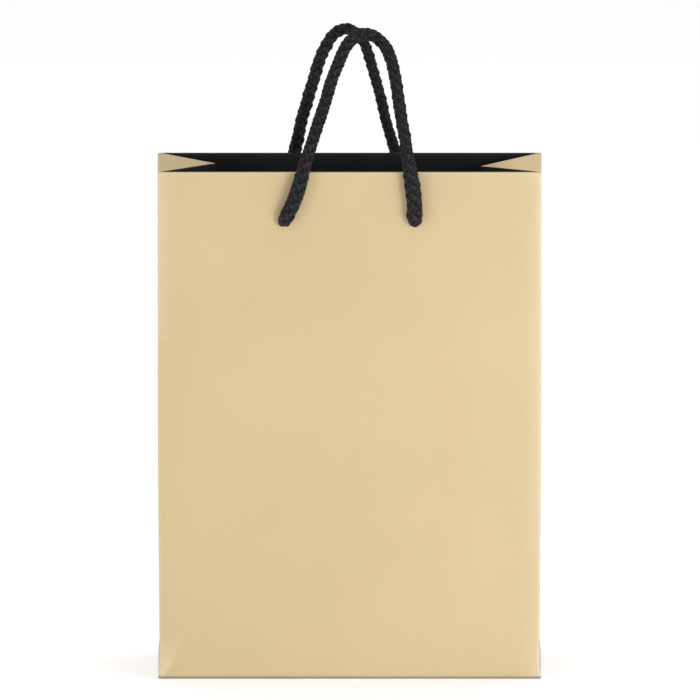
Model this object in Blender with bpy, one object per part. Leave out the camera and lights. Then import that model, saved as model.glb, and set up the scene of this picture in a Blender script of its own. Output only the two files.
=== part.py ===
"""Gift bag: folded paper body with a turned-in top, card liners and two braided rope handles."""

import math

import bmesh
import bpy
import numpy as np
from mathutils import Matrix, Vector

MM = 0.001

# The bag's three sizes, along X, Y and up the walls.
WIDTH = 180.0 * MM
DEPTH = 80.0 * MM
HEIGHT = 240.0 * MM
# How far each wide wall leans in at its top edge.
LEAN_IN = 10.5 * MM
LEAN = math.asin(LEAN_IN / HEIGHT)

# Paper, card and the room left between layers.
PAPER = 0.3 * MM
GAP = 0.3 * MM
STRIP_CARD = 0.5 * MM
BASE_CARD = 1.0 * MM
CARD_SIDE = 2.4 * MM
FLAP_SIDE = 0.6 * MM
FLAP_LAP = 12.0 * MM

# The turned-in top.
HEM_DEPTH = 38.0 * MM
HEM_SIDE = 4.0 * MM
STRIP_DEPTH = 33.0 * MM
STRIP_SIDE = 6.0 * MM
STRIP_BELOW_RIM = 1.0 * MM
GUSSET_HEM_DEPTH = 30.0 * MM
HEM_CORNER = 3.0 * MM
HEM_CREASE = 1.2 * MM
SEAM_WIDTH = 16.0 * MM
SEAM_SIDE = 3.5 * MM
SEAM_FOOT = 6.0 * MM
SEAM_TOP = 190.0 * MM

# Rope and its holes.
ROPE_R = 3.0 * MM
HOLE_R = 3.6 * MM
HOLE_X = 30.7 * MM
HOLE_UP = 217.2 * MM
HOLE_CUT_REACH = 6.0 * MM
SWING_AXIS_Y = 34.0 * MM
SWING_AXIS_Z = 217.0 * MM
NECK_OUT = 0.2 * MM
NECK_BEHIND = 0.5 * MM
KNOT_R = 7.6 * MM
KNOT_LENGTH = 11.0 * MM
KNOT_RINGS = 10
KNOT_FULLNESS = 0.6
TAIL_LENGTH = 3.0 * MM
TAIL_SWELL = 1.08
TAIL_END = 0.9

# Room along the creases.
CREASE = 0.3 * MM
WALL_FOOT = 0.4 * MM
GUSSET_FOOT = 0.5 * MM
CORNER = 1.3 * MM
CORNER_TAPER = 3.2 * MM

# How finely round parts are faceted.
HOLE_SIDES = 32
KNOT_SIDES = 28
ROPE_SIDE_STEPS = 3
ROPE_POINTS = 44
SPLINE_STEPS = 24

# Rounded rope ends: (distance past the end, thickness), both as shares of the rope's radius.
ROPE_ENDS = ((0.94, 0.36), (0.72, 0.7), (0.38, 0.93))

GOLD = (0.72, 0.55, 0.31)
BLACK = (0.012, 0.012, 0.013)
GREY_BOARD = (0.32, 0.31, 0.29)
SOFT_BLACK = (0.014, 0.014, 0.015)

# Each handle's route in millimetres, from its left hole over the top to its right hole.
FRONT_ROUTE = [
    (-30.7, -34.0, 217.0),
    (-28.2, -34.2, 222.2),
    (-26.1, -34.3, 226.9),
    (-24.4, -34.1, 231.7),
    (-23.0, -33.7, 236.4),
    (-21.2, -32.0, 243.3),
    (-18.6, -29.0, 251.0),
    (-14.3, -23.5, 263.4),
    (-11.2, -20.3, 272.5),
    (-8.4, -17.5, 281.6),
    (-4.7, -14.8, 290.7),
    (-1.4, -13.0, 297.5),
    (2.2, -12.0, 301.0),
    (6.9, -11.5, 302.8),
    (11.6, -12.0, 301.7),
    (16.5, -13.5, 297.6),
    (19.6, -16.0, 290.9),
    (21.7, -19.8, 281.9),
    (23.1, -23.5, 273.0),
    (24.5, -27.0, 264.0),
    (26.2, -30.0, 254.9),
    (27.6, -32.5, 245.7),
    (29.2, -33.8, 236.4),
    (30.4, -34.2, 226.9),
    (30.7, -34.0, 217.0),
]
BACK_ROUTE = [
    (-30.7, 34.0, 217.0),
    (-28.4, 33.9, 227.5),
    (-26.3, 33.2, 238.0),
    (-24.4, 31.5, 245.6),
    (-22.5, 28.0, 255.6),
    (-19.7, 24.5, 265.7),
    (-16.9, 20.8, 275.8),
    (-14.1, 17.0, 285.9),
    (-10.8, 14.3, 293.4),
    (-7.7, 12.7, 298.4),
    (-2.5, 11.5, 301.6),
    (2.2, 11.7, 300.2),
    (5.5, 13.0, 296.9),
    (7.3, 14.3, 293.4),
    (9.7, 17.5, 285.8),
    (12.3, 21.3, 275.7),
    (14.9, 25.0, 265.6),
    (17.0, 28.3, 255.6),
    (19.8, 31.5, 245.6),
    (20.9, 32.7, 241.6),
    (24.5, 33.7, 231.0),
    (30.7, 34.0, 217.0),
]


def clear_scene():
    for obj in list(bpy.data.objects):
        bpy.data.objects.remove(obj, do_unlink=True)


def make_material(name, color, roughness):
    mat = bpy.data.materials.new(name)
    mat.use_nodes = True
    shader = mat.node_tree.nodes["Principled BSDF"]
    shader.inputs["Base Color"].default_value = (*color, 1.0)
    shader.inputs["Roughness"].default_value = roughness
    mat.diffuse_color = (*color, 1.0)
    return mat


def link(obj, mat, parent=None):
    bpy.context.scene.collection.objects.link(obj)
    if mat is not None:
        obj.data.materials.append(mat)
    if parent is not None:
        obj.parent = parent
    return obj


def frame_empty(name, origin, u, v, parent=None):
    """An empty at origin with local X along u, local Y along v, and local Z out of the face."""
    u = Vector(u).normalized()
    v = Vector(v)
    v = (v - v.dot(u) * u).normalized()
    w = u.cross(v)
    empty = bpy.data.objects.new(name, None)
    bpy.context.scene.collection.objects.link(empty)
    m = Matrix((u, v, w)).transposed().to_4x4()
    m.translation = Vector(origin)
    empty.matrix_world = m
    if parent is not None:
        empty.parent = parent
    return empty


def plate(name, outline, low, high, mat, parent=None):
    """A flat prism over an outline in the parent's X and Y, from low to high along its Z."""
    mesh = bpy.data.meshes.new(name)
    bm = bmesh.new()
    bottom = [bm.verts.new((p[0], p[1], low)) for p in outline]
    top = [bm.verts.new((p[0], p[1], high)) for p in outline]
    n = len(outline)
    bm.faces.new(list(reversed(bottom)))
    bm.faces.new(top)
    for i in range(n):
        j = (i + 1) % n
        bm.faces.new((bottom[i], bottom[j], top[j], top[i]))
    bmesh.ops.recalc_face_normals(bm, faces=bm.faces)
    bm.to_mesh(mesh)
    bm.free()
    return link(bpy.data.objects.new(name, mesh), mat, parent)


def inset(outline, amounts):
    """Moves each edge of a convex outline inward; edge i runs from point i to point i + 1."""
    pts = [Vector(p) for p in outline]
    n = len(pts)
    area = sum(pts[i].x * pts[(i + 1) % n].y - pts[(i + 1) % n].x * pts[i].y for i in range(n))
    side = 1.0 if area > 0 else -1.0
    lines = []
    for i in range(n):
        d = (pts[(i + 1) % n] - pts[i]).normalized()
        inward = Vector((-d.y, d.x)) * side
        lines.append((pts[i] + inward * amounts[i], d))
    result = []
    for i in range(n):
        p, d = lines[i - 1]
        q, e = lines[i]
        cross = d.x * e.y - d.y * e.x
        t = ((q.x - p.x) * e.y - (q.y - p.y) * e.x) / cross
        result.append((p.x + d.x * t, p.y + d.y * t))
    return result


def cylinder_cutter(name, x, y, low, high, parent):
    mesh = bpy.data.meshes.new(name)
    bm = bmesh.new()
    bmesh.ops.create_cone(
        bm, cap_ends=True, segments=HOLE_SIDES, radius1=HOLE_R, radius2=HOLE_R, depth=high - low
    )
    bmesh.ops.translate(bm, verts=bm.verts, vec=(x, y, (low + high) / 2))
    bm.to_mesh(mesh)
    bm.free()
    cutter = link(bpy.data.objects.new(name, mesh), None, parent)
    cutter.hide_render = True
    cutter.display_type = "WIRE"
    return cutter


def punch(obj, cutters):
    for cutter in cutters:
        mod = obj.modifiers.new("punched_hole", "BOOLEAN")
        mod.operation = "DIFFERENCE"
        mod.solver = "EXACT"
        mod.object = cutter


def rectangle(x0, x1, y0, y1):
    return [(x0, y0), (x1, y0), (x1, y1), (x0, y1)]


def turned(name, profile, x, y, mat, parent):
    """A solid turned about the parent's Z through (x, y); profile is a list of (height, radius)."""
    mesh = bpy.data.meshes.new(name)
    bm = bmesh.new()
    rings = []
    for h, r in profile:
        ring = []
        for k in range(KNOT_SIDES):
            a = 2 * math.pi * k / KNOT_SIDES
            ring.append(bm.verts.new((x + r * math.cos(a), y + r * math.sin(a), h)))
        rings.append(ring)
    for a, b in zip(rings, rings[1:]):
        for k in range(KNOT_SIDES):
            j = (k + 1) % KNOT_SIDES
            bm.faces.new((a[k], a[j], b[j], b[k]))
    bm.faces.new(rings[0])
    bm.faces.new(rings[-1])
    bmesh.ops.recalc_face_normals(bm, faces=bm.faces)
    for f in bm.faces:
        f.smooth = len(f.verts) == 4
    bm.to_mesh(mesh)
    bm.free()
    return link(bpy.data.objects.new(name, mesh), mat, parent)


def knot_profile():
    """From the rope's neck just outside the paper, inward through the hole, to the knot and its tail."""
    layers = 2 * PAPER + 2 * GAP + STRIP_CARD
    start = -(layers + NECK_BEHIND)
    points = [(NECK_OUT, ROPE_R), (start, ROPE_R)]
    for i in range(1, KNOT_RINGS):
        f = i / KNOT_RINGS
        bulge = math.sin(math.pi * f) ** KNOT_FULLNESS
        points.append((start - KNOT_LENGTH * f, ROPE_R + (KNOT_R - ROPE_R) * bulge))
    end = start - KNOT_LENGTH
    points.append((end, ROPE_R))
    points.append((end - 0.8 * TAIL_LENGTH, ROPE_R * TAIL_SWELL))
    points.append((end - TAIL_LENGTH, ROPE_R * TAIL_END))
    return points


def wall(prefix, sign, mats):
    """One wide wall with its turned-in hem, card strip and rope knots, on an empty at its base crease."""
    origin = (0.0, sign * DEPTH / 2, 0.0)
    u = (-sign, 0.0, 0.0)
    v = (0.0, -sign * math.sin(LEAN), math.cos(LEAN))
    crease = frame_empty(prefix + "_base_crease", origin, u, v)
    half = WIDTH / 2
    cuts = [
        cylinder_cutter(
            f"{prefix}_hole_{k}", s * HOLE_X, HOLE_UP, -HOLE_CUT_REACH, HOLE_CUT_REACH, crease
        )
        for k, s in enumerate((-1, 1))
    ]
    panel = plate(
        prefix + "_panel",
        rectangle(-half, half, WALL_FOOT, HEIGHT),
        -PAPER,
        0.0,
        mats["gold"],
        crease,
    )
    depth = -PAPER - GAP
    strip_top = HEIGHT - STRIP_BELOW_RIM
    strip = plate(
        prefix + "_top_card",
        rectangle(-half + STRIP_SIDE, half - STRIP_SIDE, strip_top - STRIP_DEPTH, strip_top),
        depth - STRIP_CARD,
        depth,
        mats["board"],
        crease,
    )
    depth -= STRIP_CARD + GAP
    hem = plate(
        prefix + "_hem",
        rectangle(-half + HEM_SIDE, half - HEM_SIDE, HEIGHT - HEM_DEPTH, HEIGHT),
        depth - PAPER,
        depth,
        mats["black"],
        crease,
    )
    for piece in (panel, strip, hem):
        punch(piece, cuts)
    for side, s in (("a", -1), ("b", 1)):
        turned(
            f"{prefix}_knot_{side}", knot_profile(), s * HOLE_X, HOLE_UP, mats["rope"], crease
        )
    if sign > 0:
        plate(
            "side_seam_flap",
            rectangle(-half + SEAM_SIDE, -half + SEAM_SIDE + SEAM_WIDTH, SEAM_FOOT, SEAM_TOP),
            -2 * PAPER - GAP,
            -PAPER - GAP,
            mats["black"],
            crease,
        )
    return crease


def gusset_tip(side):
    z = (HEIGHT - DEPTH / 2 * math.sin(LEAN)) / math.cos(LEAN)
    t = math.sqrt(HEIGHT**2 - z**2)
    return Vector((side * (WIDTH / 2 - t), 0.0, z)), math.asin(t / HEIGHT)


def hem_strip(foot, tip, corner):
    """The strip along the top edge of an upper face, cut from its two long sides."""
    top = (tip - corner).normalized()
    edge = (foot - corner).normalized()
    slant = (foot - tip).normalized()
    down_edge = GUSSET_HEM_DEPTH / abs(top.cross(edge))
    down_slant = GUSSET_HEM_DEPTH / abs(top.cross(slant))
    return [corner, corner + edge * down_edge, tip + slant * down_slant, tip]


def gusset(prefix, side, mats):
    """One folded side: a tall lower face and two upper faces, each on an empty on its own crease."""
    tip, fold = gusset_tip(side)
    half = DEPTH / 2
    lower = frame_empty(
        prefix + "_gusset_base_crease",
        (side * WIDTH / 2, 0.0, 0.0),
        (0.0, side, 0.0),
        (-side * math.sin(fold), 0.0, math.cos(fold)),
    )
    face = inset([(-half, 0.0), (half, 0.0), (0.0, HEIGHT)], [GUSSET_FOOT, CREASE, CREASE])
    plate(prefix + "_gusset_lower", face, -PAPER, 0.0, mats["gold"], lower)
    for end, s in (("front", -1), ("back", 1)):
        foot = Vector((side * WIDTH / 2, s * half, 0.0))
        corner = foot + Vector((0.0, -s * HEIGHT * math.sin(LEAN), HEIGHT * math.cos(LEAN)))
        along = tip - foot
        across = corner - foot
        crease = frame_empty(
            f"{prefix}_{end}_diagonal_crease",
            foot,
            along if side * s < 0 else -along,
            across if side * s < 0 else across,
        )
        inv = crease.matrix_world.inverted()
        a, t, c = (inv @ p for p in (foot, tip, corner))
        a, t, c = (Vector((p.x, p.y)) for p in (a, t, c))
        # The corner side is cut back towards the top, to stay clear of the wall as the mouth opens.
        c += (t - c).normalized() * CORNER_TAPER
        body = inset([a, t, c], [CREASE, 0.0, CORNER])
        plate(f"{prefix}_gusset_{end}", body, -PAPER, 0.0, mats["gold"], crease)
        strip = inset(hem_strip(a, t, c), [HEM_CORNER, 0.0, HEM_CREASE, 0.0])
        plate(
            f"{prefix}_gusset_{end}_hem",
            strip,
            -2 * PAPER - GAP,
            -PAPER - GAP,
            mats["black"],
            crease,
        )


def bottom(mats):
    """The folded bottom: two long flaps outside, two end flaps over them, and the loose base card."""
    x = WIDTH / 2 - FLAP_SIDE
    y = DEPTH / 2 - FLAP_SIDE
    lap = FLAP_LAP
    level = 0.0
    step = PAPER + GAP
    for name, s in (("bottom_flap_back", 1), ("bottom_flap_front", -1)):
        cut = y + lap
        outline = [(-x, s * y), (x, s * y), (x - cut, -s * lap), (-x + cut, -s * lap)]
        plate(name, outline, level, level + PAPER, mats["gold"])
        level += step
    for name, s in (("bottom_flap_left", -1), ("bottom_flap_right", 1)):
        outline = [(s * x, -y), (s * x, y), (s * (x - y - lap), lap), (s * (x - y - lap), -lap)]
        plate(name, outline, level, level + PAPER, mats["gold"])
    level += step
    x = WIDTH / 2 - CARD_SIDE
    y = DEPTH / 2 - CARD_SIDE
    plate("base_card", rectangle(-x, x, -y, y), level, level + BASE_CARD, mats["black_board"])


def smooth_route(route, count):
    """Evenly spaced points on a smooth curve through the route, in metres."""
    pts = np.array(route) * MM
    ext = np.vstack([2 * pts[0] - pts[1], pts, 2 * pts[-1] - pts[-2]])
    dense = []
    for i in range(1, len(ext) - 2):
        p0, p1, p2, p3 = ext[i - 1 : i + 3]
        for t in np.linspace(0, 1, SPLINE_STEPS, endpoint=False):
            dense.append(
                0.5
                * (
                    2 * p1
                    + (p2 - p0) * t
                    + (2 * p0 - 5 * p1 + 4 * p2 - p3) * t**2
                    + (3 * p1 - p0 - 3 * p2 + p3) * t**3
                )
            )
    dense.append(pts[-1])
    dense = np.array(dense)
    run = np.concatenate([[0], np.cumsum(np.linalg.norm(np.diff(dense, axis=0), axis=1))])
    want = np.linspace(0, run[-1], count)
    return np.stack([np.interp(want, run, dense[:, k]) for k in range(3)], axis=1)


def handle(name, route, sign, mats):
    """A rope loop whose two rounded ends turn on the line through the wall's two holes."""
    pts = smooth_route(route, ROPE_POINTS)
    pivot = bpy.data.objects.new(name + "_swing_axis", None)
    bpy.context.scene.collection.objects.link(pivot)
    pivot.location = (0.0, sign * SWING_AXIS_Y, SWING_AXIS_Z)
    local = pts - np.array(pivot.location)
    first = (local[1] - local[0]) / np.linalg.norm(local[1] - local[0])
    last = (local[-2] - local[-1]) / np.linalg.norm(local[-2] - local[-1])
    ends = [share for _, share in ROPE_ENDS]
    radii = ends + [1.0] * len(local) + ends[::-1]
    head = [local[0] - first * ROPE_R * d for d, _ in ROPE_ENDS]
    tail = [local[-1] - last * ROPE_R * d for d, _ in reversed(ROPE_ENDS)]
    line = head + list(local) + tail
    curve = bpy.data.curves.new(name, "CURVE")
    curve.dimensions = "3D"
    curve.bevel_depth = ROPE_R
    curve.bevel_resolution = ROPE_SIDE_STEPS
    curve.use_fill_caps = True
    spline = curve.splines.new("POLY")
    spline.points.add(len(line) - 1)
    for p, co, r in zip(spline.points, line, radii):
        p.co = (*co, 1.0)
        p.radius = r
    link(bpy.data.objects.new(name, curve), mats["rope"], pivot)


def main():
    clear_scene()
    mats = {
        "gold": make_material("gold_paper", GOLD, 0.45),
        "black": make_material("black_paper", BLACK, 0.6),
        "board": make_material("greyboard", GREY_BOARD, 0.8),
        "black_board": make_material("black_card", SOFT_BLACK, 0.6),
        "rope": make_material("black_rope", SOFT_BLACK, 0.85),
    }
    bottom(mats)
    wall("front", -1, mats)
    wall("back", 1, mats)
    gusset("left", -1, mats)
    gusset("right", 1, mats)
    handle("front_handle", FRONT_ROUTE, -1, mats)
    handle("back_handle", BACK_ROUTE, 1, mats)


main()
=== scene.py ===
"""Looks of the gift bag: satin gold paper lined in black, and two black braided rope handles."""

import math

import bmesh
import bpy
import numpy as np
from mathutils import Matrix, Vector


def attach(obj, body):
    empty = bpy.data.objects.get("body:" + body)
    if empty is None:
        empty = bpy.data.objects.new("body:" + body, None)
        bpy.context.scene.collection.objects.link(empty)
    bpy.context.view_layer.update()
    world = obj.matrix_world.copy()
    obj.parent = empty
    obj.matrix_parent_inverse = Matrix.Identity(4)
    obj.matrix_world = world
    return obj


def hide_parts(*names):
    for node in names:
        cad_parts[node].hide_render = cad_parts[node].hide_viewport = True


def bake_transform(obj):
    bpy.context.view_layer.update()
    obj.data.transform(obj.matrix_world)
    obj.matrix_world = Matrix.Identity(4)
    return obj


MM = 0.001

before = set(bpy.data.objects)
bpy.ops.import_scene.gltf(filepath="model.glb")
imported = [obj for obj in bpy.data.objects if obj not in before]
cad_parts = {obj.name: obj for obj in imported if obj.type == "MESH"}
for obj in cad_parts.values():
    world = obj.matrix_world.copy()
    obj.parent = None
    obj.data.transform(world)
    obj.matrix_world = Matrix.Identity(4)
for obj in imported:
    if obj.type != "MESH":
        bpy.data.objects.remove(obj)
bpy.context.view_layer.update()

# Driving sizes of the folded sheet, as the frame was built.
HALF_W = 90.0 * MM
HALF_D = 40.0 * MM
HEIGHT = 240.0 * MM
LEAN_IN = 10.5 * MM
LEAN = math.asin(LEAN_IN / HEIGHT)
FRONT, BACK = -1, 1
LEFT, RIGHT = -1, 1

# Paper and its folds. FOOT is the gap between the sheets and the ground.
PAPER = 0.3 * MM
FOOT = 0.08 * MM
BASE_FOLD = 0.5 * MM
CORNER_ROUND = 0.7 * MM
TOP_FOLD = 0.85 * MM
HEM_DEPTH = 38.0 * MM
HEM_NARROWS = 0.955
GUSSET_FOLD = 0.5 * MM
GUSSET_HEM_DEPTH = 30.0 * MM
GUSSET_HEM_START = 0.035
GUSSET_HEM_SPREAD = 0.85

# Punched holes, and the shallow dent that the rope pulls round each.
HOLE_R = 3.0 * MM
HOLE_X = 30.7 * MM
HOLE_UP = 217.2 * MM
HOLE_CUT = 9.0 * MM
DENT_DEPTH = 0.22 * MM
DENT_REACH = 5.5 * MM

# How pale the film is painted, from 0 to 1: painted highlight on the top fold, the upright edges
# and the corner patch, and paler gusset creases.
RIM_PALE = 0.3
EDGE_PALE = 0.35
PATCH_PALE = 0.28
CENTRE_PALE = 0.3
CORNER_PALE = 0.2

# Rope and braid.
STRANDS = 8
BRAID_PITCH = 19.0 * MM
LAY_RADIUS = 1.8 * MM
STRAND_WIDTH = 1.4 * MM
STRAND_HEIGHT = 0.95 * MM
STRAND_LIFT = 0.4 * MM
UNEVENNESS = 0.18 * MM
BRAID_STEP = 0.55 * MM
FRONT_BRAID = {"First End Swell": 0.22, "Last End Swell": 0.30}
BACK_BRAID = {"First End Swell": 0.12, "Last End Swell": 0.20, "Second Half Girth": 0.86}
PLIES_AROUND = 7.0
PLIES_PER_METRE = 430.0
KNOT_BRAID = {"Lay Radius": 1.7 * MM, "Strand Width": 1.4 * MM, "Pitch": 16.0 * MM}

# Where each rope leaves its wall: how far behind the wall its end lies before it bends out through
# its hole.
EXIT_BEHIND = 3.5 * MM

# The overhand knots, in millimetres.
KNOT_SIZE = 1.75
KNOT_FLATNESS = 1.35
KNOT_OPENING = 0.62
KNOT_BEHIND = 9.9
KNOT_RISE = 2.2
KNOT_LEAD = [(-8.2, -0.2, 0.0), (-6.4, -1.6, 0.0)]
KNOT_TAIL = [(6.4, -3.2, 0.2), (8.6, -5.4, 0.3), (9.6, -8.6, 0.3)]

# Camera.
CAMERA_TILT = math.radians(9.1)
CAMERA_TARGET = (0.0002, 0.0, 0.1503)
CAMERA_SPAN = 0.3294
CAMERA_AWAY = 2.0

# Linear colours.
GOLD_DEEP = (0.640, 0.488, 0.262, 1)
GOLD_LIGHT = (0.672, 0.517, 0.282, 1)
GOLD_FIBRE = (0.78, 0.62, 0.38, 1)
# Pale colour for the painted highlight on folds and edges, and for the paler creases.
GOLD_PALE_HIGHLIGHT = (0.90, 0.79, 0.58, 1)
# Dark colour for the painted contact shadow along the base fold.
FOOT_SHADOW_PAINT = (0.24, 0.21, 0.165, 1)
LINING_DEEP = (0.0142, 0.0138, 0.0142, 1)
LINING_LIGHT = (0.022, 0.021, 0.0206, 1)
# Pale colour for the painted highlight on the lining's folds.
LINING_FOLD_HIGHLIGHT = (0.10, 0.095, 0.09, 1)
# Yarn colours, mixed by painted shade and by random tone.
YARN_DEEP = (0.002, 0.002, 0.0023, 1)
YARN_LIGHT = (0.038, 0.036, 0.038, 1)
# Dark, light and fleck of each board.
GREY_BOARD = (0.25, 0.24, 0.22, 1), (0.36, 0.35, 0.32, 1), (0.12, 0.11, 0.10, 1)
BLACK_CARD = (0.010, 0.010, 0.011, 1), (0.017, 0.017, 0.017, 1), (0.045, 0.044, 0.042, 1)

# Each softbox: name, place, what it aims at, size and watts.
BAG_MIDDLE = (0.0, 0.0, 0.14)
BAG_FOOT = (0.0, 0.0, 0.03)
SOFTBOXES = [
    ("right_softbox", (0.36, -0.64, 0.22), BAG_MIDDLE, (0.25, 0.4), 1.82),
    ("left_softbox", (-0.6, -0.7, 0.3), BAG_MIDDLE, (0.3, 0.5), 1.0),
    ("low_softbox", (0.05, -0.5, 0.05), BAG_FOOT, (0.7, 0.06), 0.12),
    ("top_softbox", (0.0, 0.9, 2.2), BAG_MIDDLE, (3.0, 3.0), 30.0),
]
AIR_STRENGTH = 0.35
FLOOR_REACH = 6.0
FLOOR_DROP = 0.2 * MM
FLOOR_GLOW = (0.985, 0.99, 1.02, 1)
FLOOR_GLOW_STRENGTH = 0.49

# Each handle's route in millimetres, from its left hole over the top to its right hole.
FRONT_ROUTE = [
    (-30.7, -34.0, 217.0),
    (-28.2, -34.2, 222.2),
    (-26.1, -34.3, 226.9),
    (-24.4, -34.1, 231.7),
    (-23.0, -33.7, 236.4),
    (-21.2, -32.0, 243.3),
    (-18.6, -29.0, 251.0),
    (-14.3, -23.5, 263.4),
    (-11.2, -20.3, 272.5),
    (-8.4, -17.5, 281.6),
    (-4.7, -14.8, 290.7),
    (-1.4, -13.0, 297.5),
    (2.2, -12.0, 301.0),
    (6.9, -11.5, 302.8),
    (11.6, -12.0, 301.7),
    (16.5, -13.5, 297.6),
    (19.6, -16.0, 290.9),
    (21.7, -19.8, 281.9),
    (23.1, -23.5, 273.0),
    (24.5, -27.0, 264.0),
    (26.2, -30.0, 254.9),
    (27.6, -32.5, 245.7),
    (29.2, -33.8, 236.4),
    (30.4, -34.2, 226.9),
    (30.7, -34.0, 217.0),
]
BACK_ROUTE = [
    (-30.7, 34.0, 217.0),
    (-28.4, 33.9, 227.5),
    (-26.3, 33.2, 238.0),
    (-24.4, 31.5, 245.6),
    (-22.5, 28.0, 255.6),
    (-19.7, 24.5, 265.7),
    (-16.9, 20.8, 275.8),
    (-14.1, 17.0, 285.9),
    (-10.8, 14.3, 293.4),
    (-7.7, 12.7, 298.4),
    (-2.5, 11.5, 301.6),
    (2.2, 11.7, 300.2),
    (5.5, 13.0, 296.9),
    (7.3, 14.3, 293.4),
    (9.7, 17.5, 285.8),
    (12.3, 21.3, 275.7),
    (14.9, 25.0, 265.6),
    (17.0, 28.3, 255.6),
    (19.8, 31.5, 245.6),
    (20.9, 32.7, 241.6),
    (24.5, 33.7, 231.0),
    (30.7, 34.0, 217.0),
]


# ---------------------------------------------------------------- camera


def add_camera():
    """A long straight-on view from a little above the rim."""
    camera = bpy.data.cameras.new("studio_camera")
    camera.type = "ORTHO"
    camera.ortho_scale = CAMERA_SPAN
    camera.clip_end = 20.0
    holder = bpy.data.objects.new("studio_camera", camera)
    away = Vector((0.0, -math.cos(CAMERA_TILT), math.sin(CAMERA_TILT)))
    holder.location = Vector(CAMERA_TARGET) + away * CAMERA_AWAY
    holder.rotation_euler = (math.pi / 2 - CAMERA_TILT, 0.0, 0.0)
    bpy.context.scene.collection.objects.link(holder)
    bpy.context.scene.camera = holder


# ---------------------------------------------------------------- node helpers


class Shelf:
    """Adds nodes to one tree and joins their sockets."""

    def __init__(self, tree):
        self.tree = tree

    def add(self, kind, settings=None, **inputs):
        node = self.tree.nodes.new(kind)
        for key, value in (settings or {}).items():
            setattr(node, key, value)
        for key, value in inputs.items():
            self.feed(node.inputs[key.replace("_", " ")], value)
        return node

    def feed(self, socket, value):
        if isinstance(value, bpy.types.NodeSocket):
            self.tree.links.new(value, socket)
        else:
            socket.default_value = value

    def noise(self, place, scale, detail, **more):
        node = self.add("ShaderNodeTexNoise", Vector=place, Scale=scale, Detail=detail, **more)
        return node.outputs["Fac"]

    def mark(self, name):
        return self.add("ShaderNodeAttribute", {"attribute_name": name}).outputs["Fac"]

    def math(self, operation, a, b=None):
        node = self.tree.nodes.new("ShaderNodeMath")
        node.operation = operation
        self.feed(node.inputs[0], a)
        if b is not None:
            self.feed(node.inputs[1], b)
        return node.outputs[0]

    def vector(self, operation, a, b=None, scale=None):
        node = self.tree.nodes.new("ShaderNodeVectorMath")
        node.operation = operation
        self.feed(node.inputs[0], a)
        if b is not None:
            self.feed(node.inputs[1], b)
        if scale is not None:
            self.feed(node.inputs["Scale"], scale)
        return node.outputs[0]

    def mix(self, factor, a, b):
        node = self.tree.nodes.new("ShaderNodeMix")
        node.data_type = "RGBA"
        self.feed(node.inputs["Factor"], factor)
        self.feed(node.inputs[6], a)
        self.feed(node.inputs[7], b)
        return node.outputs[2]

    def span(self, value, low, high, out_low=0.0, out_high=1.0):
        node = self.tree.nodes.new("ShaderNodeMapRange")
        self.feed(node.inputs["Value"], value)
        for name, number in (
            ("From Min", low),
            ("From Max", high),
            ("To Min", out_low),
            ("To Max", out_high),
        ):
            self.feed(node.inputs[name], number)
        return node.outputs["Result"]


def new_finish(name):
    """A material with one Principled shader; returns the material, its shelf and its shader."""
    finish = bpy.data.materials.new(name)
    finish.use_nodes = True
    shader = finish.node_tree.nodes["Principled BSDF"]
    return finish, Shelf(finish.node_tree), shader


# ---------------------------------------------------------------- finishes


def gold_film_finish():
    """Champagne gold paper under a satin film, painted paler as highlight on its folds and edges
    and painted dark as contact shadow along its base fold.
    """
    finish, shelf, shader = new_finish("champagne_gold_film")
    place = shelf.add("ShaderNodeTexCoord").outputs["Object"]
    cloud = shelf.noise(place, 14.0, 3.0, Roughness=0.5)
    grain = shelf.noise(place, 1900.0, 4.0, Roughness=0.6)
    fibre_place = shelf.add("ShaderNodeMapping", Vector=place, Scale=(420.0, 420.0, 1500.0))
    fibre = shelf.noise(fibre_place.outputs[0], 1.0, 5.0)
    # across_crease is 1 on a crease and changes by 1 for each metre beside it.
    beside = shelf.math("ABSOLUTE", shelf.math("SUBTRACT", shelf.mark("across_crease"), 1.0))
    crease = shelf.span(beside, 0.0, 1.0 * MM, 1.0, 0.0)
    body = shelf.mix(shelf.span(cloud, 0.3, 0.7), GOLD_DEEP, GOLD_LIGHT)
    body = shelf.mix(shelf.span(fibre, 0.35, 0.7, 0.0, 0.10), body, GOLD_FIBRE)
    # Painted highlight on folds and edges, and paler lines on the diagonal creases.
    highlight_mask = shelf.math("MAXIMUM", shelf.mark("fold"), shelf.math("MULTIPLY", crease, 0.16))
    highlight_paint = shelf.math("MULTIPLY", highlight_mask, shelf.span(grain, 0.3, 0.6, 0.55, 1.0))
    color = shelf.mix(highlight_paint, body, GOLD_PALE_HIGHLIGHT)
    # Painted contact shadow along the base fold.
    color = shelf.mix(shelf.mark("foot_shadow_paint"), color, FOOT_SHADOW_PAINT)
    shelf.feed(shader.inputs["Base Color"], color)
    shelf.feed(shader.inputs["Roughness"], shelf.span(cloud, 0.3, 0.7, 0.40, 0.47))
    shader.inputs["Specular IOR Level"].default_value = 0.55
    height = shelf.math("ADD", grain, shelf.math("MULTIPLY", fibre, 0.8))
    bump = shelf.add("ShaderNodeBump", Height=height, Strength=0.16, Distance=0.06 * MM)
    pressed = shelf.add("ShaderNodeBump", Height=crease, Strength=0.5, Distance=0.3 * MM)
    shelf.feed(pressed.inputs["Normal"], bump.outputs["Normal"])
    shelf.feed(shader.inputs["Normal"], pressed.outputs["Normal"])
    return finish


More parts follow.
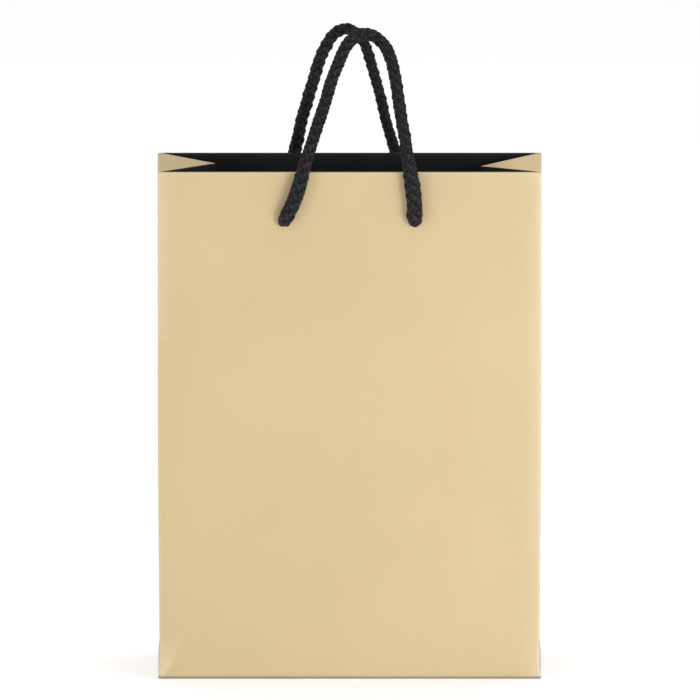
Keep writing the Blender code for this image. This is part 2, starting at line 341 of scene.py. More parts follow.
def black_lining_finish():
    """The sheet's black inner side: matte, with faint fibres and a painted highlight on its folds.
    """
    finish, shelf, shader = new_finish("black_lining_paper")
    place = shelf.add("ShaderNodeTexCoord").outputs["Object"]
    cloud = shelf.noise(place, 30.0, 4.0)
    grain = shelf.noise(place, 1600.0, 4.0, Roughness=0.65)
    body = shelf.mix(shelf.span(cloud, 0.3, 0.75), LINING_DEEP, LINING_LIGHT)
    # Painted highlight on the folds.
    color = shelf.mix(shelf.math("MULTIPLY", shelf.mark("fold"), 0.35), body, LINING_FOLD_HIGHLIGHT)
    shelf.feed(shader.inputs["Base Color"], color)
    shelf.feed(shader.inputs["Roughness"], shelf.span(cloud, 0.3, 0.7, 0.52, 0.66))
    shader.inputs["Specular IOR Level"].default_value = 0.35
    bump = shelf.add("ShaderNodeBump", Height=grain, Strength=0.25, Distance=0.08 * MM)
    shelf.feed(shader.inputs["Normal"], bump.outputs["Normal"])
    return finish


def board_finish(name, dark, light, fleck):
    """Pressed board with short fibres and flecks."""
    finish, shelf, shader = new_finish(name)
    place = shelf.add("ShaderNodeTexCoord").outputs["Object"]
    fibre_place = shelf.add("ShaderNodeMapping", Vector=place, Scale=(500.0, 1400.0, 900.0))
    fibre = shelf.noise(fibre_place.outputs[0], 1.0, 6.0)
    spot = shelf.add("ShaderNodeTexVoronoi", Vector=place, Scale=700.0)
    body = shelf.mix(shelf.span(fibre, 0.3, 0.7), dark, light)
    dot = shelf.span(spot.outputs["Distance"], 0.0, 0.22, 0.55, 0.0)
    shelf.feed(shader.inputs["Base Color"], shelf.mix(dot, body, fleck))
    shader.inputs["Roughness"].default_value = 0.82
    bump = shelf.add("ShaderNodeBump", Height=fibre, Strength=0.35, Distance=0.1 * MM)
    shelf.feed(shader.inputs["Normal"], bump.outputs["Normal"])
    return finish


def rope_finish():
    """Matte black braiding yarn; fine plies wind round each strand, with painted shade on each
    strand's sides and in the grooves between plies.
    """
    finish, shelf, shader = new_finish("black_braid_yarn")
    along = shelf.mark("along")
    around = shelf.mark("around")
    place = shelf.add("ShaderNodeTexCoord").outputs["Object"]
    turns = shelf.math(
        "ADD",
        shelf.math("MULTIPLY", around, PLIES_AROUND),
        shelf.math("MULTIPLY", along, PLIES_PER_METRE),
    )
    ply = shelf.math("SINE", shelf.math("MULTIPLY", turns, 2 * math.pi))
    fibre = shelf.noise(place, 2600.0, 4.0, Roughness=0.7)
    patch = shelf.noise(place, 420.0, 3.0)
    # Painted shade on the sides of each strand, where it dips beside its neighbours.
    crest = shelf.math("COSINE", shelf.math("MULTIPLY", around, 2 * math.pi))
    # Painted shade in the grooves between plies.
    shade = shelf.span(ply, -1.0, 1.0, 0.55, 1.0)
    for share in (
        shelf.span(fibre, 0.3, 0.7, 0.7, 1.15),
        shelf.span(patch, 0.3, 0.7, 0.45, 1.5),
        shelf.span(crest, 0.0, 0.9, 0.0, 1.0),
    ):
        shade = shelf.math("MULTIPLY", shade, share)
    shelf.feed(shader.inputs["Base Color"], shelf.mix(shade, YARN_DEEP, YARN_LIGHT))
    shader.inputs["Roughness"].default_value = 0.72
    shader.inputs["Specular IOR Level"].default_value = 0.2
    shader.inputs["Sheen Weight"].default_value = 0.04
    shader.inputs["Sheen Roughness"].default_value = 0.45
    height = shelf.math("ADD", shelf.math("MULTIPLY", ply, 0.6), fibre)
    bump = shelf.add("ShaderNodeBump", Height=height, Strength=0.7, Distance=0.12 * MM)
    shelf.feed(shader.inputs["Normal"], bump.outputs["Normal"])
    return finish


# ---------------------------------------------------------------- mesh helpers


def show(name, mesh):
    """A new object for the mesh or curve, in the scene."""
    piece = bpy.data.objects.new(name, mesh)
    bpy.context.scene.collection.objects.link(piece)
    return piece


def settle(piece, name):
    """The piece as a plain mesh with its modifiers worked in."""
    bpy.context.view_layer.update()
    seen = piece.evaluated_get(bpy.context.evaluated_depsgraph_get())
    mesh = bpy.data.meshes.new_from_object(seen)
    mesh.name = name
    bpy.data.objects.remove(piece, do_unlink=True)
    return show(name, mesh)


def smooth_points(route, step):
    """Evenly spaced points, about step apart, on a smooth curve through the route."""
    pts = np.array(route, float)
    ext = np.vstack([2 * pts[0] - pts[1], pts, 2 * pts[-1] - pts[-2]])
    dense = []
    for i in range(1, len(ext) - 2):
        p0, p1, p2, p3 = ext[i - 1 : i + 3]
        for t in np.linspace(0, 1, 24, endpoint=False):
            near = 2 * p1 + (p2 - p0) * t
            far = (2 * p0 - 5 * p1 + 4 * p2 - p3) * t**2 + (3 * p1 - p0 - 3 * p2 + p3) * t**3
            dense.append(0.5 * (near + far))
    dense.append(pts[-1])
    dense = np.array(dense)
    run = np.concatenate([[0], np.cumsum(np.linalg.norm(np.diff(dense, axis=0), axis=1))])
    want = np.linspace(0, run[-1], int(run[-1] / step) + 1)
    return np.stack([np.interp(want, run, dense[:, k]) for k in range(3)], axis=1)


def path_curve(name, points):
    """A poly curve through the points."""
    curve = bpy.data.curves.new(name, "CURVE")
    curve.dimensions = "3D"
    spline = curve.splines.new("POLY")
    spline.points.add(len(points) - 1)
    for knot, co in zip(spline.points, points):
        knot.co = (*co, 1.0)
    return show(name, curve)


# ---------------------------------------------------------------- rope


def braid_tree(yarn):
    """Geometry Nodes: a round braid of crossing strands over a core, laid along a curve."""
    tree = bpy.data.node_groups.new("round_braid", "GeometryNodeTree")
    face = tree.interface
    face.new_socket(name="Path", in_out="INPUT", socket_type="NodeSocketGeometry")
    for name, kind, value in (
        ("Strands", "NodeSocketInt", STRANDS),
        ("Pitch", "NodeSocketFloat", BRAID_PITCH),
        ("Lay Radius", "NodeSocketFloat", LAY_RADIUS),
        ("Strand Width", "NodeSocketFloat", STRAND_WIDTH),
        ("Strand Height", "NodeSocketFloat", STRAND_HEIGHT),
        ("Lift", "NodeSocketFloat", STRAND_LIFT),
        ("Step", "NodeSocketFloat", BRAID_STEP),
        ("First End Swell", "NodeSocketFloat", 0.0),
        ("Last End Swell", "NodeSocketFloat", 0.0),
        ("Second Half Girth", "NodeSocketFloat", 1.0),
        ("Unevenness", "NodeSocketFloat", UNEVENNESS),
    ):
        socket = face.new_socket(name=name, in_out="INPUT", socket_type=kind)
        socket.default_value = value
    face.new_socket(name="Braid", in_out="OUTPUT", socket_type="NodeSocketGeometry")
    shelf = Shelf(tree)
    given = shelf.add("NodeGroupInput").outputs
    line = shelf.add(
        "GeometryNodeResampleCurve", {"mode": "LENGTH"}, Curve=given["Path"], Length=given["Step"]
    )
    copies = shelf.add(
        "GeometryNodeDuplicateElements",
        {"domain": "SPLINE"},
        Geometry=line.outputs[0],
        Amount=given["Strands"],
    )
    number = copies.outputs["Duplicate Index"]
    run = shelf.add("GeometryNodeSplineParameter").outputs["Length"]
    tangent = shelf.add("GeometryNodeInputTangent").outputs[0]
    normal = shelf.add("GeometryNodeInputNormal").outputs[0]
    side = shelf.vector("CROSS_PRODUCT", tangent, normal)
    # Even strands wind one way and odd ones the other, in evenly spaced pairs.
    odd = shelf.math("MODULO", number, 2.0)
    hand = shelf.math("SUBTRACT", 1.0, shelf.math("MULTIPLY", odd, 2.0))
    pairs = shelf.math("DIVIDE", given["Strands"], 2.0)
    start = shelf.math("DIVIDE", shelf.math("FLOOR", shelf.math("DIVIDE", number, 2.0)), pairs)
    turn = shelf.math("DIVIDE", run, given["Pitch"])
    angle = shelf.math("ADD", shelf.math("MULTIPLY", hand, turn), start)
    angle = shelf.math("MULTIPLY", angle, 2 * math.pi)
    crossings = shelf.math("MULTIPLY", turn, pairs)
    beat = shelf.math("COSINE", shelf.math("MULTIPLY", crossings, 2 * math.pi))
    lift = shelf.math("MULTIPLY", shelf.math("MULTIPLY", beat, hand), given["Lift"])
    # The rope is fatter where it stands beside its hole, and thin again inside it.
    whole = shelf.add("GeometryNodeSplineLength").outputs["Length"]
    share = shelf.math("DIVIDE", run, whole)
    girth = shelf.span(share, 0.42, 0.56, 1.0, given["Second Half Girth"])
    for from_end, amount in (
        (run, given["First End Swell"]),
        (shelf.math("SUBTRACT", whole, run), given["Last End Swell"]),
    ):
        rise = shelf.span(from_end, 6.0 * MM, 10.0 * MM)
        fall = shelf.span(from_end, 26.0 * MM, 42.0 * MM, 1.0, 0.0)
        swell = shelf.math("MULTIPLY", shelf.math("MULTIPLY", rise, fall), amount)
        girth = shelf.math("ADD", swell, girth)
    # Each strand reads its own line of the noise.
    spot = shelf.add(
        "ShaderNodeCombineXYZ",
        X=shelf.math("MULTIPLY", run, 150.0),
        Y=shelf.math("MULTIPLY", number, 3.7),
    )
    uneven = shelf.span(shelf.noise(spot.outputs[0], 1.0, 1.0), 0.25, 0.75, -1.0, 1.0)
    lift = shelf.math("ADD", lift, shelf.math("MULTIPLY", uneven, given["Unevenness"]))
    radius = shelf.math("ADD", shelf.math("MULTIPLY", given["Lay Radius"], girth), lift)
    out = shelf.vector(
        "ADD",
        shelf.vector("SCALE", normal, scale=shelf.math("COSINE", angle)),
        shelf.vector("SCALE", side, scale=shelf.math("SINE", angle)),
    )
    kept = shelf.add("GeometryNodeCaptureAttribute", Geometry=copies.outputs[0])
    for kind, name, field in (
        ("VECTOR", "Outward", out),
        ("FLOAT", "Radius", radius),
        ("FLOAT", "Run", run),
        ("FLOAT", "Girth", girth),
    ):
        kept.capture_items.new(kind, name)
        shelf.feed(kept.inputs[name], field)
    offset = shelf.vector("SCALE", kept.outputs["Outward"], scale=kept.outputs["Radius"])
    moved = shelf.add("GeometryNodeSetPosition", Geometry=kept.outputs[0], Offset=offset)
    turned = shelf.add(
        "GeometryNodeSetCurveNormal",
        {"mode": "FREE"},
        Curve=moved.outputs[0],
        Normal=kept.outputs["Outward"],
    )
    marked = shelf.add(
        "GeometryNodeStoreNamedAttribute",
        {"data_type": "FLOAT", "domain": "POINT"},
        Geometry=turned.outputs[0],
        Name="along",
        Value=kept.outputs["Run"],
    )
    circle = ("GeometryNodeCurvePrimitiveCircle", {"mode": "RADIUS"})
    ring = shelf.add(*circle, Resolution=10, Radius=1.0)
    size = shelf.add(
        "ShaderNodeCombineXYZ", X=given["Strand Height"], Y=given["Strand Width"], Z=1.0
    )
    oval = shelf.add("GeometryNodeTransform", Geometry=ring.outputs[0], Scale=size.outputs[0])
    spun = shelf.add("GeometryNodeSplineParameter").outputs["Factor"]
    oval = shelf.add(
        "GeometryNodeStoreNamedAttribute",
        {"data_type": "FLOAT", "domain": "POINT"},
        Geometry=oval.outputs[0],
        Name="around",
        Value=spun,
    )
    strands = shelf.add(
        "GeometryNodeCurveToMesh",
        Curve=marked.outputs[0],
        Profile_Curve=oval.outputs[0],
        Scale=kept.outputs["Girth"],
        Fill_Caps=True,
    )
    core_radius = shelf.math("MULTIPLY", given["Lay Radius"], 0.85)
    core_ring = shelf.add(*circle, Resolution=12, Radius=core_radius)
    core = shelf.add(
        "GeometryNodeCurveToMesh",
        Curve=line.outputs[0],
        Profile_Curve=core_ring.outputs[0],
        Fill_Caps=True,
    )
    both = shelf.add("GeometryNodeJoinGeometry")
    shelf.feed(both.inputs[0], strands.outputs[0])
    shelf.feed(both.inputs[0], core.outputs[0])
    soft = shelf.add("GeometryNodeSetShadeSmooth", Geometry=both.outputs[0])
    real = shelf.add("GeometryNodeRealizeInstances", Geometry=soft.outputs[0])
    painted = shelf.add("GeometryNodeSetMaterial", Geometry=real.outputs[0], Material=yarn)
    result = shelf.add("NodeGroupOutput")
    shelf.feed(result.inputs[0], painted.outputs[0])
    return tree


def braid(name, points, tree, sizes=None):
    """A braided rope along the points, as a plain mesh."""
    path = path_curve(name + "_path", points)
    layer = path.modifiers.new("braid", "NODES")
    layer.node_group = tree
    for item in tree.interface.items_tree:
        if item.in_out == "INPUT" and item.name in (sizes or {}):
            layer[item.identifier] = sizes[item.name]
    return settle(path, name)


def wall_frame(sign):
    """(crease point, along, up the wall, out of the wall) of the front or the back."""
    origin = np.array([0.0, sign * HALF_D, 0.0])
    along = np.array([-sign, 0.0, 0.0])
    up = np.array([0.0, -sign * math.sin(LEAN), math.cos(LEAN)])
    out = np.cross(along, up)
    return origin, along, up, out


def rope_route(route, sign):
    """The loop's route, with each end bent through its hole and on into its knot."""
    _, _, _, out = wall_frame(sign)
    pts = np.array(route) * MM
    ends = []
    for hole, after in ((pts[0], pts[1]), (pts[-1], pts[-2])):
        way = (after - hole) / np.linalg.norm(after - hole)
        centre = hole - out * EXIT_BEHIND
        inner = [centre - out * d * MM for d in (6.0, 3.2, 0.6)]
        bend = [centre + out * 1.9 * MM + way * 0.3 * MM]
        elbow = [hole - out * 0.35 * MM + way * 2.2 * MM]
        ends.append((inner, bend, elbow))
    first = ends[0][0] + ends[0][1] + ends[0][2]
    last = list(reversed(ends[1][0] + ends[1][1] + ends[1][2]))
    return np.vstack([first, pts[1:-1], last])


def knot_route(sign, hole):
    """An overhand knot pulled up behind the hole, with a short tail."""
    origin, along, up, out = wall_frame(sign)
    base = origin + along * hole + up * HOLE_UP
    body = []
    for t in np.linspace(math.pi + KNOT_OPENING, 3 * math.pi - KNOT_OPENING, 34):
        x = KNOT_SIZE * (math.sin(t) + 2 * math.sin(2 * t))
        y = KNOT_SIZE * (math.cos(t) - 2 * math.cos(2 * t))
        z = -KNOT_FLATNESS * KNOT_SIZE * math.sin(3 * t)
        body.append((x, y, z))
    if body[0][0] > body[-1][0]:
        body.reverse()
    points = []
    for x, y, z in KNOT_LEAD + body + KNOT_TAIL:
        inward = -out * (KNOT_BEHIND + x) * MM
        points.append(base + inward + up * (y + KNOT_RISE) * MM + along * z * MM)
    return np.array(points)


def handle_rope(prefix, route, sign, shape, tree):
    """One rope handle from knot to knot, and its two knots."""
    points = smooth_points(rope_route(route, sign), 1.2 * MM)
    rope = braid(prefix + "_rope", points, tree, shape)
    for side, s in (("a", -1), ("b", 1)):
        line = smooth_points(knot_route(sign, s * HOLE_X), 1.0 * MM)
        knot = braid(f"{prefix}_rope_knot_{side}", line, tree, KNOT_BRAID)
        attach(knot, prefix + "_wall")
        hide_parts(f"{prefix}_knot_{side}")
    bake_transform(rope)
    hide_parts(prefix + "_handle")
    return rope


# ---------------------------------------------------------------- paper walls


def fade(value, low, high):
    """0 below low, 1 above high, smooth between."""
    t = np.clip((value - low) / (high - low), 0, 1)
    return t * t * (3 - 2 * t)


def tuck_in(h):
    """How far the two sides draw in below the middle of the bag; nothing at the base fold."""
    below = 1 - float(fade(h, -20 * MM, 140 * MM))
    return MM * below * (0.35 + 0.65 * float(fade(h, 0.0, 8 * MM))) - 0.3 * MM


def climb_heights(low, high):
    """Heights from low to high, close together near both ends."""
    foot = np.arange(low, low + 8 * MM, 0.8 * MM)
    rim = np.arange(high - 4 * MM, high, 0.4 * MM)
    middle = np.linspace(low + 8 * MM, high - 4 * MM, 68, endpoint=False)
    return list(foot) + list(middle) + list(rim)


def wall_path():
    """Up the wall's outer face, over the top fold and down the turned-in hem.

    Each row is (height up the wall, distance out of it, share of the hem, nearness to a fold)."""
    rows = []
    for t in np.linspace(0.0, math.pi / 2, 5):
        rise = FOOT + BASE_FOLD * (1 - math.cos(t))
        rows.append((rise, BASE_FOLD * (math.sin(t) - 1), 0.0, 0.0))
    top = HEIGHT - TOP_FOLD
    for h in climb_heights(FOOT + BASE_FOLD, top)[1:]:
        near = math.exp(-(((top - h) / (0.45 * MM)) ** 2))
        rows.append((h, 0.0, 0.0, near))
    for t in np.linspace(0.0, math.pi, 15):
        share = float(fade(t, 0.9, math.pi))
        # How strongly the top fold's painted highlight shows on each row of the fold.
        mark = float(1.0 - 0.75 * fade(t, 0.9, 1.7))
        rows.append((top + TOP_FOLD * math.sin(t), TOP_FOLD * (math.cos(t) - 1), share, mark))
    for h in np.linspace(top, HEIGHT - HEM_DEPTH, 14)[1:]:
        rows.append((h, -2 * TOP_FOLD, 1.0, 0.0))
    return rows


def wall_columns():
    """Places across a wall, close together beside its two rounded edges."""
    inner = HALF_W - 6 * MM
    flat = HALF_W - CORNER_ROUND
    right = list(np.linspace(inner, flat, 10))[1:]
    right += [flat + CORNER_ROUND * math.sin(t) for t in np.linspace(0, math.pi / 2, 7)[1:]]
    left = [-x for x in reversed(right)]
    return left + list(np.linspace(-inner, inner, 70)) + right


def edge_roll(side, end):
    """How far a wide wall falls back along one of its upright edges; most at the front's right."""
    return 0.6 * MM if (side, end) == (RIGHT, FRONT) else 0.1 * MM


def pillow(u, h, shapes):
    """How far the paper stands out of its plane; it is flat at the base and along the hem."""
    across = 1 - (abs(u) / HALF_W) ** 4
    level = fade(h, 4 * MM, 50 * MM) * (1 - fade(h, 165 * MM, 203 * MM))
    bow = 0.55 * MM * math.sin(math.pi * min(h / HEIGHT, 1.0))
    for x, z, wide, tall, deep in shapes:
        bow += deep * MM * math.exp(-(((u / MM - x) / wide) ** 2) - ((h / MM - z) / tall) ** 2)
    return across * level * bow


# Soft hollows and swells in each wide wall: (along, up, width, height, depth) in millimetres.
FRONT_SHAPES = [
    (-62, 120, 16, 90, -0.35),
    (-20, 60, 34, 40, -0.30),
    (15, 150, 40, 30, 0.25),
    (58, 110, 18, 80, 0.55),
    (30, 40, 30, 24, 0.25),
    (70, 60, 12, 50, -0.25),
    (-75, 150, 8, 60, 0.25),
]
BACK_SHAPES = [
    (50, 130, 30, 60, -0.5),
    (-30, 80, 30, 60, 0.35),
    (-60, 150, 20, 60, -0.3),
    (10, 40, 34, 24, 0.3),
]


def handling_crease(u, h):
    """The bent patch in the front's lower left corner: sharp on its right, faint on its left."""
    start = np.array([-86.5, 3.0]) * MM
    way = np.array([6.6, 13.0]) * MM
    p = np.array([u, h]) - start
    t = float(np.dot(p, way) / np.dot(way, way))
    left = float(way[0] * p[1] - way[1] * p[0]) / float(np.linalg.norm(way))
    strength = (1 - float(fade(t, 0.2, 1.35))) * float(fade(t, -0.35, 0.05))
    strength *= float(fade(left, -0.4 * MM, 0.5 * MM))
    return strength * (1 - float(fade(left, 1 * MM, 10 * MM)))


def edge_highlight(u, h):
    """How much paler the front is painted, as highlight, in the strips beside its two upright
    edges.
    """
    upper_left = 0.12 * fade(-u, 84.5 * MM, 86.5 * MM) * fade(h, 157 * MM, 166 * MM)
    lower_left = 0.12 * fade(-u, 85 * MM, 88 * MM) * (1 - fade(h, 10 * MM, 26 * MM))
    right = 0.08 * fade(u, 80 * MM, 88 * MM)
    lower_right = 0.12 * fade(u, 84 * MM, 88 * MM) * (1 - fade(h, 8 * MM, 20 * MM))
    return float(upper_left + lower_left + right + lower_right)


# What the gold finish reads at each point of a sheet: painted highlight, distance beside a crease,
# painted contact shadow at the foot.
MARKS = ("fold", "across_crease", "foot_shadow_paint")


def foot_shadow_paint(h):
    """1 on the base fold, where the paper is painted dark as contact shadow, and nothing a little
    above it.
    """
    return 1 - float(fade(h, 0.7 * MM, 1.6 * MM))


def paper_sheet(name, rows, columns, place, marks, black_from):
    """A grid of faces with its marks; rows from black_from on show the black side."""
    mesh = bpy.data.meshes.new(name)
    verts = [place(i, j) for i in range(rows) for j in range(columns)]
    faces = []
    for i in range(rows - 1):
        for j in range(columns - 1):
            a = i * columns + j
            faces.append((a, a + 1, a + columns + 1, a + columns))
    mesh.from_pydata([tuple(v) for v in verts], [], faces)
    values = np.array([marks(i, j) for i in range(rows) for j in range(columns)])
    for k, key in enumerate(MARKS):
        mesh.attributes.new(key, "FLOAT", "POINT").data.foreach_set("value", values[:, k])
    for face in mesh.polygons:
        face.material_index = 1 if face.index // (columns - 1) >= black_from else 0
        face.use_smooth = True
    return show(name, mesh)


def give_paper(piece, gold, black):
    """Paper thickness, laid inwards; gold outside and black inside."""
    for finish in (gold, black, black):
        piece.data.materials.append(finish)
    shell = piece.modifiers.new("thickness", "SOLIDIFY")
    shell.thickness = PAPER
    shell.offset = -1.0
    shell.use_even_offset = True
    shell.use_rim = True
    shell.material_offset = 1
    shell.material_offset_rim = 0


def hole_punch(name, centre, out):
    """A cylinder along out that cuts one hole."""
    bm = bmesh.new()
    bmesh.ops.create_cone(
        bm, cap_ends=True, segments=40, radius1=HOLE_R, radius2=HOLE_R, depth=HOLE_CUT
    )
    turn = Vector(out).to_track_quat("Z", "Y").to_matrix().to_4x4()
    turn.translation = Vector(centre)
    bm.transform(turn)
    mesh = bpy.data.meshes.new(name)
    bm.to_mesh(mesh)
    bm.free()
    return show(name, mesh)


def wide_wall(prefix, sign, shapes, gold, black):
    """The front or back: a sheet from the base fold over the top to the hem, punched twice."""
    origin, along, up, out = wall_frame(sign)
    rows = wall_path()
    columns = wall_columns()

    def place(i, j):
        h, w, hem, _ = rows[i]
        u = columns[j]
        beyond = max(abs(u) - (HALF_W - CORNER_ROUND), 0.0)
        w -= (CORNER_ROUND - math.sqrt(max(CORNER_ROUND**2 - beyond**2, 0.0))) * (1 - hem)
        side = 1 if u * -sign > 0 else -1
        w -= edge_roll(side, sign) * (max(abs(u) / MM - 85, 0.0) / 5) ** 2 * (1 - hem)
        w += pillow(u, h, shapes)
        for hole in (-HOLE_X, HOLE_X):
            reach = math.hypot(u - hole, h - HOLE_UP)
            w -= DENT_DEPTH * math.exp(-((reach / DENT_REACH) ** 2))
        if sign == FRONT:
            w += 0.3 * MM * handling_crease(u, h)
            low = max(2.6 * MM - h, 0.0) * float(fade(-u, 84 * MM, 89 * MM))
            u += low * 0.35
        u *= 1 - (1 - HEM_NARROWS) * hem - tuck_in(h) / HALF_W
        return origin + along * u + up * h + out * w

    def marks(i, j):
        h, _, hem, near = rows[i]
        u = columns[j]
        from_edge = HALF_W - 0.2 * MM - abs(u)
        # Painted highlight along each rounded upright edge.
        edge = EDGE_PALE * math.exp(-((from_edge / (0.6 * MM)) ** 2)) * (1 - hem)
        highlight_paint = 0.0
        if sign == FRONT:
            # Painted highlight on the bent corner patch and in the strips beside the upright
            # edges.
            highlight_paint = PATCH_PALE * handling_crease(u, h) + edge_highlight(u, h)
            # The painted edge highlight is twice as strong on the right.
            if u > 0:
                edge *= 2
        # The first mark is painted highlight; the last is the painted contact shadow at the foot.
        return max(RIM_PALE * near, edge) + highlight_paint * (1 - hem), 0.0, foot_shadow_paint(h)

    turned_in = [h > HEIGHT / 2 and w < -0.5 * TOP_FOLD and near < 0.5 for h, w, _, near in rows]
    sheet = paper_sheet(
        prefix + "_wall_sheet", len(rows), len(columns), place, marks, turned_in.index(True)
    )
    give_paper(sheet, gold, black)
    cutters = []
    for k, hole in enumerate((-HOLE_X, HOLE_X)):
        cutter = hole_punch(f"{prefix}_punch_{k}", origin + along * hole + up * HOLE_UP, out)
        cut = sheet.modifiers.new("punch", "BOOLEAN")
        cut.operation = "DIFFERENCE"
        cut.solver = "EXACT"
        cut.object = cutter
        cutters.append(cutter)
    wall = settle(sheet, prefix + "_wall_paper")
    for cutter in cutters:
        bpy.data.objects.remove(cutter, do_unlink=True)
    wall.data.set_sharp_from_angle(angle=math.radians(50))
    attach(wall, prefix + "_wall")
    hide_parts(prefix + "_panel", prefix + "_hem")
    return wall


# ---------------------------------------------------------------- gussets

TIP_UP = (HEIGHT - HALF_D * math.sin(LEAN)) / math.cos(LEAN)
TIP_IN = math.sqrt(HEIGHT**2 - TIP_UP**2)
# The two sides are not folded quite alike: depth and tip height, left and right.
GUSSET_DEPTH = {LEFT: 0.965 * TIP_IN, RIGHT: 1.02 * TIP_IN}
TIP_RISE = {LEFT: 0.8 * MM, RIGHT: -0.5 * MM}
# Where the folded faces cross they blend over this much at the foot, and over nothing at the rim.
FOOT_BLEND = 5.0 * MM
CENTRE_RIDGE = 0.35 * MM
# How wide the pale line is on the centre crease and beside the wall, as a share of the half.
CENTRE_WIDE = 0.8 / 30
CORNER_WIDE = 1.2 / 34


def gusset_surface(side, end, a, b):
    """A point of the folded side: a from centre crease to wall, b from base to top."""
    edge = CORNER_ROUND + edge_roll(side, end)
    full = HALF_D - LEAN_IN * b - edge
    y = full * a
    tip_up = TIP_UP + TIP_RISE[side]
    z = b * (tip_up + (HEIGHT * math.cos(LEAN) - tip_up) * a)
    deep = GUSSET_DEPTH[side] * b
    slant = GUSSET_DEPTH[side] / (HALF_D - LEAN_IN - edge) * (full - y)
    blend = FOOT_BLEND * (1 - b) * float(fade(min(deep, slant), 0.0, 4 * MM)) + 0.02 * MM
    mixed = np.clip(0.5 + 0.5 * (slant - deep) / blend, 0, 1)
    depth = slant * (1 - mixed) + deep * mixed - blend * mixed * (1 - mixed)
    depth += CENTRE_RIDGE * math.exp(-((y / (0.9 * MM)) ** 2)) * float(fade(b, 0.02, 0.1))
    if z < BASE_FOLD:
        depth += BASE_FOLD - math.sqrt(max(BASE_FOLD**2 - (BASE_FOLD - z) ** 2, 0.0))
    depth += tuck_in(z)
    return np.array([side * (HALF_W - depth), end * y, FOOT + z * (1 - FOOT / HEIGHT)])


# The gusset's paper runs on behind each wall's edge: how far, and how deep behind its face.
FLANGE_REACH = [0.7 * MM, 1.5 * MM]
FLANGE_DEPTH = 0.45 * MM


def flange_point(side, end, b, reach):
    """A point behind a wall's upright edge, reach in from the side, b from the base to the top."""
    x = HALF_W - reach - tuck_in(b * HEIGHT)
    y = HALF_D - LEAN_IN * b - FLANGE_DEPTH - edge_roll(side, end)
    return np.array([side * x, end * y, FOOT + b * (HEIGHT * math.cos(LEAN) - FOOT)])


def inner_normal(side, end, a, b):
    """(direction into the bag, direction up the face) at a point of the folded side."""
    step = 0.01
    near = gusset_surface(side, end, max(a - step, 0.0), b)
    far = gusset_surface(side, end, min(a + step, 1.0), b)
    rise = gusset_surface(side, end, a, b) - gusset_surface(side, end, a, b - step)
    normal = np.cross(far - near, rise)
    normal /= np.linalg.norm(normal)
    if normal[0] * side > 0:
        normal = -normal
    return normal, rise / np.linalg.norm(rise)


# The front half of each side runs on a little behind the back half at the centre crease.
CENTRE_LAP = [-0.045, -0.015]
LAP_DEPTH = 0.4 * MM


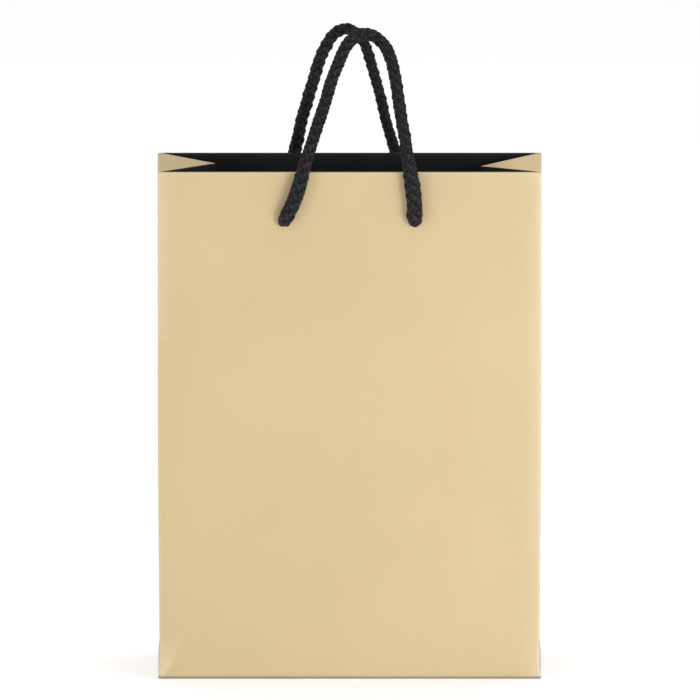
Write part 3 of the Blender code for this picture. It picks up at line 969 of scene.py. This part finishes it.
def gusset_half(prefix, side, name, end, gold, black):
    """Half of one folded side, from its centre crease to the wall, with its own turned-in top."""
    top = 1 - GUSSET_FOLD / HEIGHT
    foot_rows = [h * MM / HEIGHT for h in (0.0, 0.06, 0.15, 0.3)]
    face_rows = [h / HEIGHT for h in climb_heights(BASE_FOLD, HEIGHT - GUSSET_FOLD)]
    climb = foot_rows + face_rows + [top]
    arc = list(np.linspace(0, math.pi, 9))[1:]
    hem = list(np.linspace(0, GUSSET_HEM_DEPTH, 11))[1:]
    lap = CENTRE_LAP if end == FRONT else []
    across = lap + [0.0, 0.012, 0.025, 0.045]
    across += list(np.linspace(0.07, 0.93, 34)) + [0.955, 0.975, 0.99, 1.0]
    rows = len(climb) + len(arc) + len(hem)
    last = len(across) - 1
    columns = len(across) + len(FLANGE_REACH)
    black_from = len(climb) + 3

    def turned(i):
        """How far row i has turned in: 0 on the outer face, 1 on the hem."""
        if i < len(climb):
            return 0.0
        over = i - len(climb)
        return float(fade(arc[over], 0.6, math.pi)) if over < len(arc) else 1.0

    def place(i, j):
        keep = 1 - turned(i)
        if j < len(lap):
            inward, _ = inner_normal(side, end, 0.0, climb[min(i, len(climb) - 1)])
            return face_point(i, across[j]) + inward * LAP_DEPTH * keep
        if j <= last:
            return face_point(i, across[j])
        reach = FLANGE_REACH[j - last - 1]
        if i < len(climb):
            return flange_point(side, end, climb[i], reach)
        behind = flange_point(side, end, top, reach) - face_point(len(climb) - 1, 1.0)
        inward = np.array([side * 0.3 * reach, 0, 0])
        return face_point(i, 1.0) + behind * keep - inward * turned(i)

    def face_point(i, a):
        """Row i's point at share a from the centre crease to the wall."""
        if i < len(climb):
            return gusset_surface(side, end, a, climb[i])
        over = i - len(climb)
        a = a + turned(i) * ((GUSSET_HEM_START + a * GUSSET_HEM_SPREAD) - a)
        if over < len(arc):
            inward, rise = inner_normal(side, end, a, top)
            t = arc[over]
            turn = inward * GUSSET_FOLD * (1 - math.cos(t)) + rise * GUSSET_FOLD * math.sin(t)
            return gusset_surface(side, end, a, top) + turn
        b = top - hem[over - len(arc)] / HEIGHT
        inward, _ = inner_normal(side, end, a, b)
        return gusset_surface(side, end, a, b) + inward * 2 * GUSSET_FOLD

    def marks(i, j):
        a = across[min(j, last)]
        # Painted highlight on the top fold.
        if i >= len(climb):
            return (RIM_PALE if i < black_from else 0.0), 0.0, 0.0
        b = climb[i]
        # Paler along the centre crease and beside the wall, and painted highlight on the top fold.
        centre = CENTRE_PALE * math.exp(-((a / CENTRE_WIDE) ** 2)) * float(fade(b, 0.03, 0.15))
        corner = CORNER_PALE * math.exp(-(((1 - a) / CORNER_WIDE) ** 2))
        rim = RIM_PALE * math.exp(-(((top - b) * HEIGHT / (0.5 * MM)) ** 2))
        _, y, z = gusset_surface(side, end, a, b)
        # The crease runs at 45 degrees from the base corner; the finish draws it where this is 1.
        beside = 1.0 + (z - (HALF_D - abs(y))) / math.sqrt(2) if z < HALF_D + 2 * MM else 0.0
        # The first mark is paleness, with painted highlight on the top fold; the last is the
        # painted contact shadow at the foot.
        return max(centre, corner, rim), beside, foot_shadow_paint(z)

    sheet = paper_sheet(f"{prefix}_{name}_sheet", rows, columns, place, marks, black_from)
    # Faces look outward on the halves whose grid runs that way, and are turned on the others.
    if side * end < 0:
        sheet.data.flip_normals()
    give_paper(sheet, gold, black)
    half = settle(sheet, f"{prefix}_gusset_{name}_paper")
    foot = np.array([side * HALF_W, end * HALF_D, 0.0])
    tip = np.array([side * (HALF_W - TIP_IN), 0.0, TIP_UP])
    corner = foot + np.array([0.0, -end * LEAN_IN, HEIGHT * math.cos(LEAN)])
    line = (tip - foot) / np.linalg.norm(tip - foot)
    away = (corner - foot) - line * np.dot(corner - foot, line)
    away /= np.linalg.norm(away)
    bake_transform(half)
    nodes = [f"{prefix}_gusset_{name}", f"{prefix}_gusset_{name}_hem"]
    if name == "front":
        nodes.append(f"{prefix}_gusset_lower")
    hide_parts(*nodes)
    return half


# ---------------------------------------------------------------- frame pieces that stay


def dress_frame_pieces(gold, black):
    """Finishes for the flat pieces that keep their shape from the frame."""
    grey_board = board_finish("grey_strawboard", *GREY_BOARD)
    black_card = board_finish("black_base_board", *BLACK_CARD)
    finishes = {
        "bottom_flap_back": gold,
        "bottom_flap_front": gold,
        "bottom_flap_left": gold,
        "bottom_flap_right": gold,
        "side_seam_flap": black,
        "front_top_card": grey_board,
        "back_top_card": grey_board,
        "base_card": black_card,
    }
    for name, finish in finishes.items():
        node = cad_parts[name]
        node.data.materials.clear()
        node.data.materials.append(finish)


# ---------------------------------------------------------------- studio


def add_floor():
    """A plain white ground that glows a little, so that it stays pale round the bag."""
    finish, _, shader = new_finish("studio_floor")
    shader.inputs["Base Color"].default_value = (0.75, 0.75, 0.75, 1)
    shader.inputs["Roughness"].default_value = 0.9
    shader.inputs["Specular IOR Level"].default_value = 0.1
    shader.inputs["Emission Color"].default_value = FLOOR_GLOW
    shader.inputs["Emission Strength"].default_value = FLOOR_GLOW_STRENGTH
    mesh = bpy.data.meshes.new("studio_floor")
    r = FLOOR_REACH
    mesh.from_pydata([(-r, -r, 0), (r, -r, 0), (r, r, 0), (-r, r, 0)], [], [(0, 1, 2, 3)])
    floor = show("studio_floor", mesh)
    floor.location.z = -FLOOR_DROP
    mesh.materials.append(finish)


def add_softbox(name, place, aim, size, power):
    """A rectangular lamp at place, turned towards aim."""
    lamp = bpy.data.lights.new(name, "AREA")
    lamp.shape = "RECTANGLE"
    lamp.size, lamp.size_y = size
    lamp.energy = power
    holder = bpy.data.objects.new(name, lamp)
    holder.location = place
    holder.rotation_euler = (Vector(aim) - Vector(place)).to_track_quat("-Z", "Y").to_euler()
    bpy.context.scene.collection.objects.link(holder)


def add_studio():
    """Air, lamps and ground."""
    world = bpy.data.worlds.new("studio_air")
    bpy.context.scene.world = world
    world.use_nodes = True
    air = world.node_tree.nodes["Background"]
    air.inputs["Color"].default_value = (1.0, 1.0, 1.0, 1)
    air.inputs["Strength"].default_value = AIR_STRENGTH
    for softbox in SOFTBOXES:
        add_softbox(*softbox)
    bpy.context.scene.view_settings.view_transform = "Standard"
    add_floor()


# ---------------------------------------------------------------- the bag


def main():
    add_camera()
    tree = braid_tree(rope_finish())
    handle_rope("front", FRONT_ROUTE, FRONT, FRONT_BRAID, tree)
    handle_rope("back", BACK_ROUTE, BACK, BACK_BRAID, tree)
    gold = gold_film_finish()
    black = black_lining_finish()
    wide_wall("front", FRONT, FRONT_SHAPES, gold, black)
    wide_wall("back", BACK, BACK_SHAPES, gold, black)
    for prefix, side in (("left", LEFT), ("right", RIGHT)):
        gusset_half(prefix, side, "front", FRONT, gold, black)
        gusset_half(prefix, side, "back", BACK, gold, black)
    dress_frame_pieces(gold, black)
    add_studio()


main()
